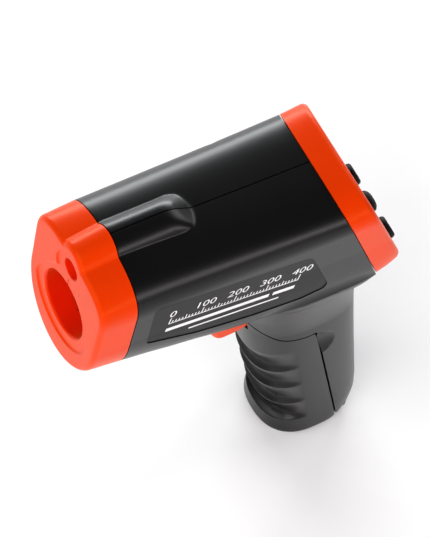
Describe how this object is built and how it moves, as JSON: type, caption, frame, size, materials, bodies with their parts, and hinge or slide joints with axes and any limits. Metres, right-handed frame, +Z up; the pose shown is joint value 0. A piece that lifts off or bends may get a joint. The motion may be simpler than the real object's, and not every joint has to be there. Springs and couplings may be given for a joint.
{
  "type": "infrared thermometer",
  "caption": "Pistol-shaped non-contact thermometer with a recessed bore and aiming laser in the nose, a trigger, side labels, keys under a rear display and a hinged grip door.",
  "frame": {"origin": "centre of the flat base of the handle", "axes": "+Z up, along the height of the object as it stands on its handle; -X towards the nose; +Y to the right of the person holding it"},
  "size_m": [0.1075, 0.04, 0.1491],
  "materials": {
    "orange_plastic": "semi-gloss moulded orange-red ABS",
    "black_plastic": "satin black moulded ABS with a fine texture",
    "clear_plastic": "clear acrylic",
    "button_rubber": "matte black silicone rubber",
    "label_film": "satin dark film",
    "steel": "bright zinc-plated or plain steel",
    "inner_black": "plain black moulded plastic",
    "ivory_plastic": "plain ivory or milky plastic",
    "infrared_lens": "milky polyethylene Fresnel lens",
    "circuit_board": "green solder mask",
    "brass": "plain machined brass",
    "lcd_glass": "grey-green display glass",
    "contact_rubber": "layered conductive rubber",
    "battery_can": "plain printed film over a steel can",
    "snap_vinyl": "soft black vinyl",
    "red_wire": "red insulation",
    "black_wire": "black insulation",
    "white_wire": "off-white insulation",
    "blue_wire": "blue insulation"
  },
  "bodies": {
    "housing": {"nose_cap": "orange_plastic", "left_housing": "black_plastic", "right_housing": "black_plastic", "rear_bezel": "orange_plastic", "display_window": "clear_plastic", "door_hinge_pin": "steel", "label_left": "label_film", "label_right": "label_film", "housing_screw_1": "steel", "housing_screw_2": "steel", "housing_screw_3": "steel", "housing_screw_4": "steel", "trigger_pin": "steel", "trigger_spring": "steel", "trigger_switch": "inner_black", "ir_lens": "infrared_lens", "lens_barrel": "inner_black", "thermopile_sensor": "steel", "sensor_board": "circuit_board", "sensor_screw_1": "steel", "sensor_screw_2": "steel", "laser_module": "brass", "laser_lens": "clear_plastic", "laser_board": "circuit_board", "main_board": "circuit_board", "main_chip": "inner_black", "buzzer": "inner_black", "lcd_panel": "lcd_glass", "lcd_backlight": "ivory_plastic", "lcd_contact": "contact_rubber", "display_board": "circuit_board", "key_switch_1": "inner_black", "key_switch_2": "inner_black", "key_switch_3": "inner_black", "battery": "battery_can", "battery_snap": "snap_vinyl", "battery_lead_red": "red_wire", "battery_lead_black": "black_wire", "laser_lead": "white_wire", "switch_lead": "blue_wire"},
    "trigger": {"trigger": "orange_plastic"},
    "plunger": {"switch_plunger": "ivory_plastic"},
    "button_down": {"button_down": "button_rubber"},
    "button_mode": {"button_mode": "button_rubber"},
    "button_up": {"button_up": "button_rubber"},
    "door": {"battery_door": "black_plastic"}
  },
  "joints": [
    {"name": "trigger_pull", "type": "hinge", "parent": "housing", "child": "trigger", "pos_m": [-0.036, 0, 0.1023], "axis": [0, -1, 0], "range_deg": [0, 7], "stiffness_Nm_per_rad": 0.6, "springref_deg": -11.46},
    {"name": "plunger_press", "type": "slide", "parent": "housing", "child": "plunger", "axis": [1, 0, 0], "range_m": [0, 0.0016]},
    {"name": "down_press", "type": "slide", "parent": "housing", "child": "button_down", "axis": [-0.91, 0, -0.4147], "range_m": [0, 0.001], "stiffness_N_per_m": 300},
    {"name": "mode_press", "type": "slide", "parent": "housing", "child": "button_mode", "axis": [-0.91, 0, -0.4147], "range_m": [0, 0.001], "stiffness_N_per_m": 300},
    {"name": "up_press", "type": "slide", "parent": "housing", "child": "button_up", "axis": [-0.91, 0, -0.4147], "range_m": [0, 0.001], "stiffness_N_per_m": 300},
    {"name": "door_open", "type": "hinge", "parent": "housing", "child": "door", "pos_m": [0.0055, 0, 0.0021], "axis": [0, -1, 0], "range_deg": [0, 70]}
  ],
  "couplings": [
    {"joint": "plunger_press", "follows": "trigger_pull", "m_per_rad": 0.0125}
  ]
}
